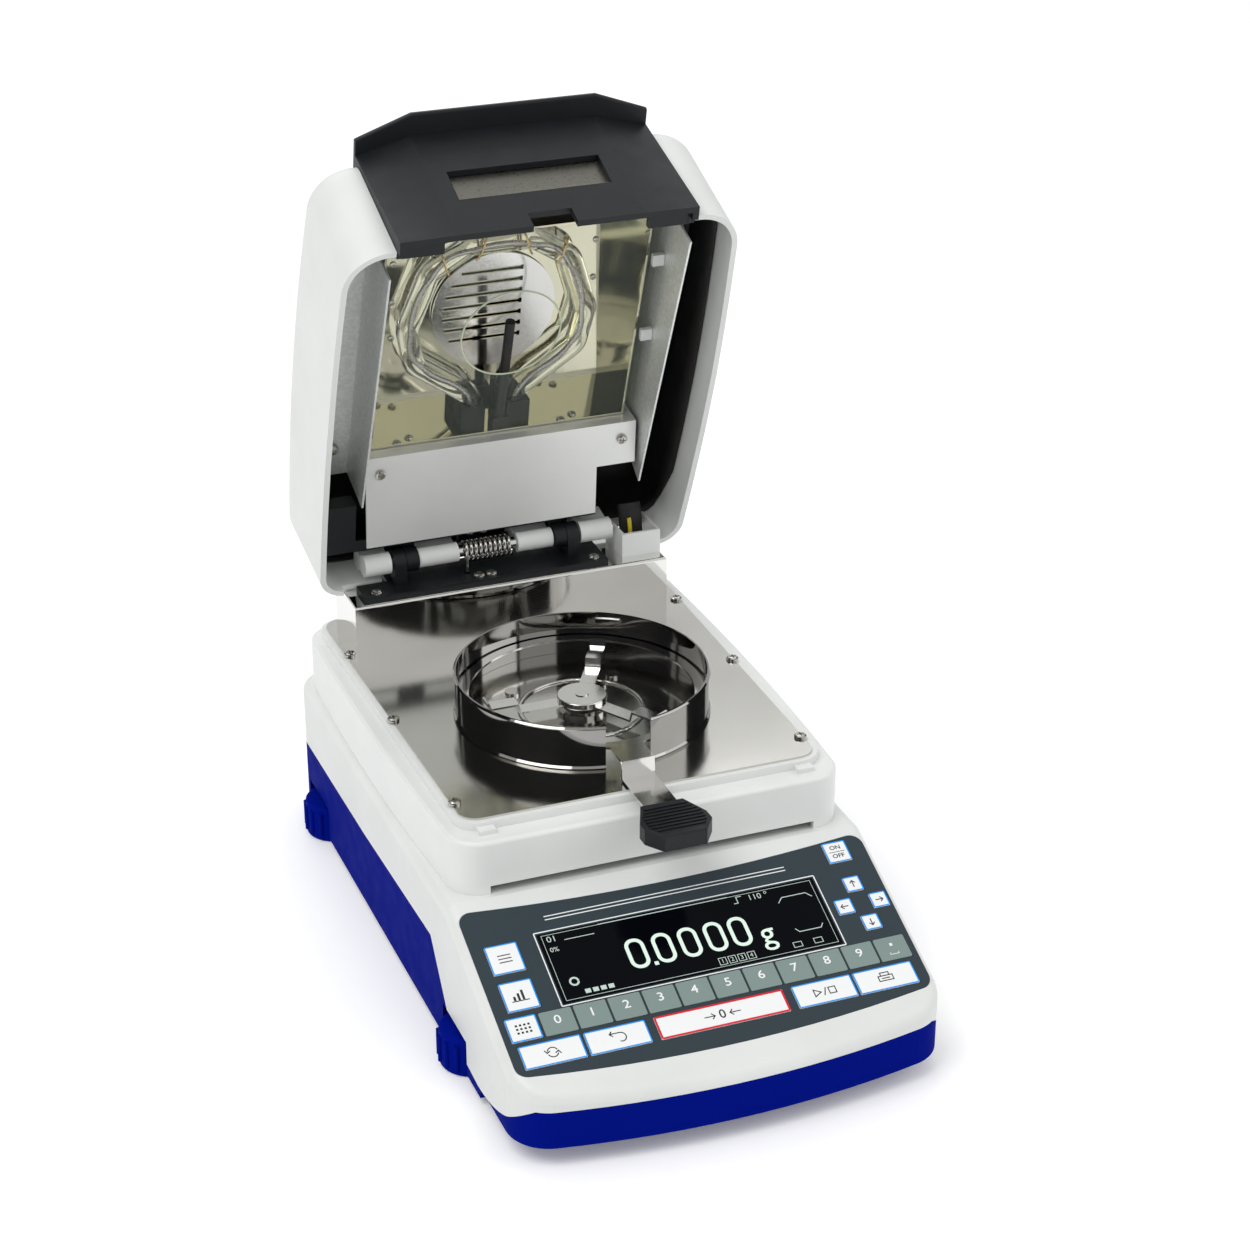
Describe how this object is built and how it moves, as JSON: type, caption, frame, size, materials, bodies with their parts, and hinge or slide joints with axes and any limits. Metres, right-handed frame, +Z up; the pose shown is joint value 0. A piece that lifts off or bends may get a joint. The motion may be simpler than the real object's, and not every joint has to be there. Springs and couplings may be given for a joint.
{
  "type": "moisture analyzer",
  "caption": "Bench moisture analyzer: a balance base with a sloping keypad and a heating chamber under a hinged lid that carries a halogen lamp.",
  "frame": {"origin": "on the table, in the middle of the outline", "axes": "+X to the right, +Y from the keypad to the hinge, +Z up"},
  "size_m": [0.2182, 0.3759, 0.3762],
  "materials": {
    "white_plastic": "satin moulded",
    "blue_plastic": "fine textured",
    "black_plastic": "satin",
    "polished_steel": "mirror polished",
    "sheet_steel": "brushed",
    "galvanised": "spangled zinc",
    "aluminium": "machined",
    "film": "matte printed film",
    "display": "clear window over a dark display",
    "key_film": "matte printed film",
    "number_film": "matte printed film",
    "circuit_board": "solder mask",
    "lamp_glass": "clear tube",
    "pane_glass": "clear pane",
    "cable": "matt sleeve"
  },
  "bodies": {
    "base": {"base_shell": "blue_plastic", "top_housing": "white_plastic", "heating_tray": "white_plastic", "floor_plate": "polished_steel", "base_screws": "sheet_steel", "hinge_box": "sheet_steel", "hinge_lower_leaf": "black_plastic", "hinge_shaft": "sheet_steel", "hinge_spring": "sheet_steel", "cable_duct": "white_plastic", "lamp_cable": "cable", "keypad_overlay": "film", "display_module": "display", "main_board": "circuit_board", "load_cell": "aluminium"},
    "shield": {"wind_shield": "sheet_steel"},
    "pan": {"pan_support": "sheet_steel"},
    "lifter": {"pan_lifter": "sheet_steel", "lifter_handle": "black_plastic"},
    "foot_front_left_wheel": {"foot_front_left": "blue_plastic"},
    "foot_front_right_wheel": {"foot_front_right": "blue_plastic"},
    "foot_rear_left_wheel": {"foot_rear_left": "blue_plastic"},
    "foot_rear_right_wheel": {"foot_rear_right": "blue_plastic"},
    "key_0_cap": {"key_0": "number_film"},
    "key_1_cap": {"key_1": "number_film"},
    "key_2_cap": {"key_2": "number_film"},
    "key_3_cap": {"key_3": "number_film"},
    "key_4_cap": {"key_4": "number_film"},
    "key_5_cap": {"key_5": "number_film"},
    "key_6_cap": {"key_6": "number_film"},
    "key_7_cap": {"key_7": "number_film"},
    "key_8_cap": {"key_8": "number_film"},
    "key_9_cap": {"key_9": "number_film"},
    "key_point_cap": {"key_point": "number_film"},
    "menu_key_cap": {"menu_key": "key_film"},
    "method_key_cap": {"method_key": "key_film"},
    "letter_key_cap": {"letter_key": "key_film"},
    "unit_key_cap": {"unit_key": "key_film"},
    "reset_key_cap": {"reset_key": "key_film"},
    "tare_key_cap": {"tare_key": "key_film"},
    "start_key_cap": {"start_key": "key_film"},
    "print_key_cap": {"print_key": "key_film"},
    "power_key_cap": {"power_key": "key_film"},
    "up_key_cap": {"up_key": "key_film"},
    "down_key_cap": {"down_key": "key_film"},
    "left_key_cap": {"left_key": "key_film"},
    "right_key_cap": {"right_key": "key_film"},
    "lid": {"lid_shell": "white_plastic", "front_panel": "black_plastic", "side_sheets": "galvanised", "lower_sheet": "sheet_steel", "reflector": "polished_steel", "halogen_lamp": "lamp_glass", "lamp_holders": "black_plastic", "vent_disc": "sheet_steel", "lid_glass": "pane_glass", "temperature_sensor": "sheet_steel", "glass_clips": "white_plastic", "hinge_upper_leaf": "black_plastic", "lid_screws": "sheet_steel"}
  },
  "joints": [
    {"name": "lid_hinge", "type": "hinge", "parent": "base", "child": "lid", "pos_m": [0, 0.131, 0.144], "axis": [-1, 0, 0], "range_deg": [-77.6, 0], "stiffness_Nm_per_rad": 0.5},
    {"name": "shield_lift", "type": "slide", "parent": "base", "child": "shield", "axis": [0, 0, 1], "range_m": [0, 0.04]},
    {"name": "pan_lift", "type": "slide", "parent": "base", "child": "pan", "axis": [0, 0, 1], "range_m": [0, 0.06]},
    {"name": "lifter_lift", "type": "slide", "parent": "shield", "child": "lifter", "axis": [0, 0, 1], "range_m": [0, 0.03]},
    {"name": "foot_front_left_turn", "type": "hinge", "parent": "base", "child": "foot_front_left_wheel", "pos_m": [-0.093, -0.091, 0.01], "axis": [0, 0, 1], "continuous": true},
    {"name": "foot_front_right_turn", "type": "hinge", "parent": "base", "child": "foot_front_right_wheel", "pos_m": [0.093, -0.091, 0.01], "axis": [0, 0, 1], "continuous": true},
    {"name": "foot_rear_left_turn", "type": "hinge", "parent": "base", "child": "foot_rear_left_wheel", "pos_m": [-0.093, 0.129, 0.01], "axis": [0, 0, 1], "continuous": true},
    {"name": "foot_rear_right_turn", "type": "hinge", "parent": "base", "child": "foot_rear_right_wheel", "pos_m": [0.093, 0.129, 0.01], "axis": [0, 0, 1], "continuous": true},
    {"name": "key_0_press", "type": "slide", "parent": "base", "child": "key_0_cap", "axis": [0, 0.3837, -0.9235], "range_m": [0, 0.0005], "stiffness_N_per_m": 800, "springref_m": -0.0003},
    {"name": "key_1_press", "type": "slide", "parent": "base", "child": "key_1_cap", "axis": [0, 0.3837, -0.9235], "range_m": [0, 0.0005], "stiffness_N_per_m": 800, "springref_m": -0.0003},
    {"name": "key_2_press", "type": "slide", "parent": "base", "child": "key_2_cap", "axis": [0, 0.3837, -0.9235], "range_m": [0, 0.0005], "stiffness_N_per_m": 800, "springref_m": -0.0003},
    {"name": "key_3_press", "type": "slide", "parent": "base", "child": "key_3_cap", "axis": [0, 0.3837, -0.9235], "range_m": [0, 0.0005], "stiffness_N_per_m": 800, "springref_m": -0.0003},
    {"name": "key_4_press", "type": "slide", "parent": "base", "child": "key_4_cap", "axis": [0, 0.3837, -0.9235], "range_m": [0, 0.0005], "stiffness_N_per_m": 800, "springref_m": -0.0003},
    {"name": "key_5_press", "type": "slide", "parent": "base", "child": "key_5_cap", "axis": [0, 0.3837, -0.9235], "range_m": [0, 0.0005], "stiffness_N_per_m": 800, "springref_m": -0.0003},
    {"name": "key_6_press", "type": "slide", "parent": "base", "child": "key_6_cap", "axis": [0, 0.3837, -0.9235], "range_m": [0, 0.0005], "stiffness_N_per_m": 800, "springref_m": -0.0003},
    {"name": "key_7_press", "type": "slide", "parent": "base", "child": "key_7_cap", "axis": [0, 0.3837, -0.9235], "range_m": [0, 0.0005], "stiffness_N_per_m": 800, "springref_m": -0.0003},
    {"name": "key_8_press", "type": "slide", "parent": "base", "child": "key_8_cap", "axis": [0, 0.3837, -0.9235], "range_m": [0, 0.0005], "stiffness_N_per_m": 800, "springref_m": -0.0003},
    {"name": "key_9_press", "type": "slide", "parent": "base", "child": "key_9_cap", "axis": [0, 0.3837, -0.9235], "range_m": [0, 0.0005], "stiffness_N_per_m": 800, "springref_m": -0.0003},
    {"name": "key_point_press", "type": "slide", "parent": "base", "child": "key_point_cap", "axis": [0, 0.3837, -0.9235], "range_m": [0, 0.0005], "stiffness_N_per_m": 800, "springref_m": -0.0003},
    {"name": "menu_key_press", "type": "slide", "parent": "base", "child": "menu_key_cap", "axis": [0, 0.3837, -0.9235], "range_m": [0, 0.0005], "stiffness_N_per_m": 800, "springref_m": -0.0003},
    {"name": "method_key_press", "type": "slide", "parent": "base", "child": "method_key_cap", "axis": [0, 0.3837, -0.9235], "range_m": [0, 0.0005], "stiffness_N_per_m": 800, "springref_m": -0.0003},
    {"name": "letter_key_press", "type": "slide", "parent": "base", "child": "letter_key_cap", "axis": [0, 0.3837, -0.9235], "range_m": [0, 0.0005], "stiffness_N_per_m": 800, "springref_m": -0.0003},
    {"name": "unit_key_press", "type": "slide", "parent": "base", "child": "unit_key_cap", "axis": [0, 0.3837, -0.9235], "range_m": [0, 0.0005], "stiffness_N_per_m": 800, "springref_m": -0.0003},
    {"name": "reset_key_press", "type": "slide", "parent": "base", "child": "reset_key_cap", "axis": [0, 0.3837, -0.9235], "range_m": [0, 0.0005], "stiffness_N_per_m": 800, "springref_m": -0.0003},
    {"name": "tare_key_press", "type": "slide", "parent": "base", "child": "tare_key_cap", "axis": [0, 0.3837, -0.9235], "range_m": [0, 0.0005], "stiffness_N_per_m": 800, "springref_m": -0.0003},
    {"name": "start_key_press", "type": "slide", "parent": "base", "child": "start_key_cap", "axis": [0, 0.3837, -0.9235], "range_m": [0, 0.0005], "stiffness_N_per_m": 800, "springref_m": -0.0003},
    {"name": "print_key_press", "type": "slide", "parent": "base", "child": "print_key_cap", "axis": [0, 0.3837, -0.9235], "range_m": [0, 0.0005], "stiffness_N_per_m": 800, "springref_m": -0.0003},
    {"name": "power_key_press", "type": "slide", "parent": "base", "child": "power_key_cap", "axis": [0, 0.3837, -0.9235], "range_m": [0, 0.0005], "stiffness_N_per_m": 800, "springref_m": -0.0003},
    {"name": "up_key_press", "type": "slide", "parent": "base", "child": "up_key_cap", "axis": [0, 0.3837, -0.9235], "range_m": [0, 0.0005], "stiffness_N_per_m": 800, "springref_m": -0.0003},
    {"name": "down_key_press", "type": "slide", "parent": "base", "child": "down_key_cap", "axis": [0, 0.3837, -0.9235], "range_m": [0, 0.0005], "stiffness_N_per_m": 800, "springref_m": -0.0003},
    {"name": "left_key_press", "type": "slide", "parent": "base", "child": "left_key_cap", "axis": [0, 0.3837, -0.9235], "range_m": [0, 0.0005], "stiffness_N_per_m": 800, "springref_m": -0.0003},
    {"name": "right_key_press", "type": "slide", "parent": "base", "child": "right_key_cap", "axis": [0, 0.3837, -0.9235], "range_m": [0, 0.0005], "stiffness_N_per_m": 800, "springref_m": -0.0003}
  ]
}
